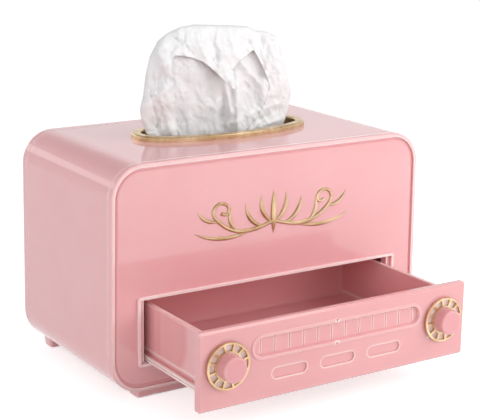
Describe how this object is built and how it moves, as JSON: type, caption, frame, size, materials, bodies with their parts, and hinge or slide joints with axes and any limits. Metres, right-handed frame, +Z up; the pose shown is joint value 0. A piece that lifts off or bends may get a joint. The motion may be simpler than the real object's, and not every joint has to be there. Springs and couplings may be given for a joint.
{
  "type": "tissue box with drawer",
  "caption": "Radio-styled plastic tissue dispenser: rounded housing with an oval slot on top, sliding drawer with turning dial knobs below, push-fit rear cover.",
  "frame": {"origin": "middle of the housing's footprint, on the surface that the box stands on", "axes": "+X to the right seen from the front, +Y towards the rear cover (the drawer opens along -Y), +Z up"},
  "size_m": [0.2312, 0.2062, 0.2163],
  "materials": {
    "case_pink": "high gloss, moulded in colour",
    "drawer_pink": "high gloss, moulded in colour",
    "knob_pink": "gloss",
    "inner_pink": "as moulded",
    "gold_trim": "vacuum-plated satin gold on moulded plastic",
    "screw_steel": "zinc-plated",
    "pad_rubber": "soft matt",
    "tissue_paper": "creped tissue paper"
  },
  "bodies": {
    "housing": {"housing_shell": "case_pink", "front_fascia": "case_pink", "shelf": "inner_pink", "runner_left": "inner_pink", "runner_right": "inner_pink", "slot_ring": "gold_trim", "front_ornament": "gold_trim", "foot_front": "case_pink", "foot_rear": "case_pink", "foot_pads": "pad_rubber", "fascia_screws": "screw_steel", "runner_screws": "screw_steel", "shelf_screws": "screw_steel", "tissue_pack": "tissue_paper"},
    "drawer": {"drawer_tray": "drawer_pink", "drawer_front": "drawer_pink", "drawer_screws": "screw_steel"},
    "dial_left": {"knob_left": "knob_pink", "dial_ring_left": "gold_trim", "knob_washer_left": "screw_steel"},
    "dial_right": {"knob_right": "knob_pink", "dial_ring_right": "gold_trim", "knob_washer_right": "screw_steel"},
    "back": {"rear_cover": "case_pink"},
    "tissue": {"tissue_sheet": "tissue_paper"}
  },
  "joints": [
    {"name": "drawer_slide", "type": "slide", "parent": "housing", "child": "drawer", "axis": [0, -1, 0], "range_m": [-0.0653, 0.012]},
    {"name": "dial_left_turn", "type": "hinge", "parent": "drawer", "child": "dial_left", "pos_m": [-0.0794, -0.13395, 0.0432], "axis": [0, -1, 0], "continuous": true},
    {"name": "dial_right_turn", "type": "hinge", "parent": "drawer", "child": "dial_right", "pos_m": [0.0794, -0.13395, 0.0432], "axis": [0, -1, 0], "continuous": true},
    {"name": "back_pull_off", "type": "slide", "parent": "housing", "child": "back", "axis": [0, 1, 0], "range_m": [0, 0.03]},
    {"name": "tissue_pull", "type": "slide", "parent": "housing", "child": "tissue", "axis": [0, 0, 1], "range_m": [0, 0.036]}
  ]
}
